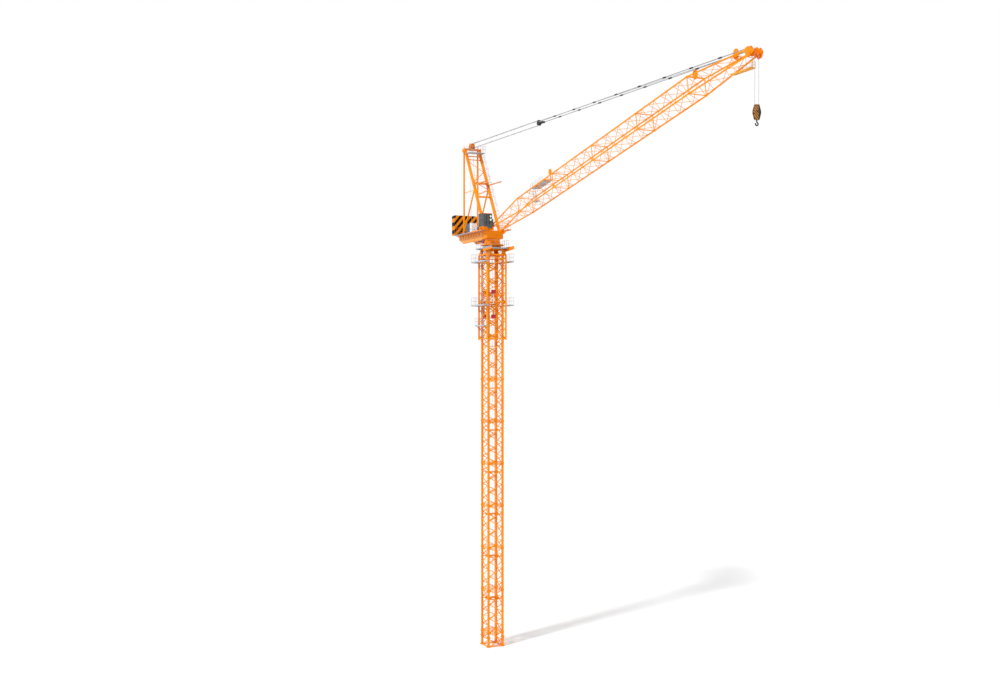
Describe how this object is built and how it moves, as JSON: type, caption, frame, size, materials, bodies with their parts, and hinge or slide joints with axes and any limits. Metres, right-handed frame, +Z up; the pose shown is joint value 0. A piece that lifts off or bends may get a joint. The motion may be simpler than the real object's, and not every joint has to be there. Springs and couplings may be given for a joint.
{
  "type": "luffing-jib tower crane, 1:10 scale model",
  "caption": "Luffing-jib tower crane with lattice mast, climbing cage, slewing upperworks, A-frame, pendants and hook block, as a 1:10 scale model.",
  "frame": {"origin": "centre of the mast's base frame at ground level", "axes": "+Z up, +X along the jib as it stands, +Y to the left of the jib"},
  "size_m": [7.1742, 0.521, 7.277],
  "materials": {
    "orange_paint": "satin",
    "grey_deck": "satin",
    "galvanised": "satin",
    "wire_rope": "satin",
    "dark_steel": "satin",
    "red_paint": "satin",
    "white_paint": "satin",
    "ballast_paint": "satin",
    "tinted_glass": "glossy"
  },
  "bodies": {
    "tower": {"base_frame": "orange_paint", "mast_feet": "orange_paint", "mast_legs": "orange_paint", "mast_front": "orange_paint", "mast_back": "orange_paint", "mast_left": "orange_paint", "mast_right": "orange_paint", "cage_posts": "orange_paint", "cage_front": "orange_paint", "cage_back": "orange_paint", "cage_left": "orange_paint", "cage_right": "orange_paint", "cage_guides": "orange_paint", "climbing_jacks": "red_paint", "cage_platforms": "grey_deck", "slewing_support": "orange_paint", "slewing_ring": "dark_steel"},
    "upperworks": {"a_frame_head": "orange_paint", "a_frame_legs": "orange_paint", "a_frame_ties": "orange_paint", "backstops": "orange_paint", "cab": "orange_paint", "cab_bracket": "orange_paint", "cab_windows": "tinted_glass", "cabinet": "white_paint", "counter_jib": "orange_paint", "counterweight": "ballast_paint", "head_platform": "grey_deck", "hoist_winch": "galvanised", "luffing_winch": "galvanised", "machinery_deck": "grey_deck", "slewing_drives": "dark_steel", "slewing_platform": "orange_paint", "top_sheaves": "dark_steel", "turntable": "orange_paint", "winch_ropes": "wire_rope"},
    "jib": {"jib_foot": "orange_paint", "jib_section_1": "orange_paint", "jib_section_2": "orange_paint", "jib_section_3": "orange_paint", "jib_section_4": "orange_paint", "jib_head": "orange_paint", "jib_head_plates": "orange_paint", "head_sheaves": "dark_steel", "sheave_guard": "orange_paint", "rope_guides": "orange_paint", "jib_platforms": "grey_deck"},
    "pendants": {"pendant_bars": "galvanised", "equalizer": "orange_paint", "tackle_sheaves": "dark_steel", "hoist_rope": "wire_rope"},
    "tackle": {"luffing_ropes": "wire_rope"},
    "falls": {"hook_falls": "wire_rope", "hook_block": "orange_paint", "block_sheave": "dark_steel"},
    "hook_swivel": {"hook": "dark_steel"}
  },
  "joints": [
    {"name": "slew", "type": "hinge", "parent": "tower", "child": "upperworks", "pos_m": [0, 0, 5.702], "axis": [0, 0, 1], "continuous": true},
    {"name": "luff", "type": "hinge", "parent": "upperworks", "child": "jib", "pos_m": [0.1, 0, 5.93], "axis": [0, -1, 0], "range_deg": [0, 73.8]},
    {"name": "pendant_swing", "type": "hinge", "parent": "jib", "child": "pendants", "pos_m": [6.01053, 0, 7.14007], "axis": [0, -1, 0], "range_deg": [-3, 3]},
    {"name": "tackle_swing", "type": "hinge", "parent": "upperworks", "child": "tackle", "pos_m": [-0.715, 0, 7.238], "axis": [0, -1, 0], "range_deg": [-5, 80], "deforming": ["luffing_ropes"]},
    {"name": "hook_plumb", "type": "hinge", "parent": "jib", "child": "falls", "pos_m": [6.05729, 0, 7.08409], "axis": [0, -1, 0], "range_deg": [-80, 5]},
    {"name": "hook_turn", "type": "hinge", "parent": "falls", "child": "hook_swivel", "pos_m": [6.09009, 0, 6.43], "axis": [0, 0, 1], "continuous": true}
  ],
  "couplings": [
    {"joint": "pendant_swing", "follows": "luff", "ratio": 0.021244},
    {"joint": "tackle_swing", "follows": "luff", "ratio": 1.0212},
    {"joint": "hook_plumb", "follows": "luff", "ratio": -1}
  ]
}
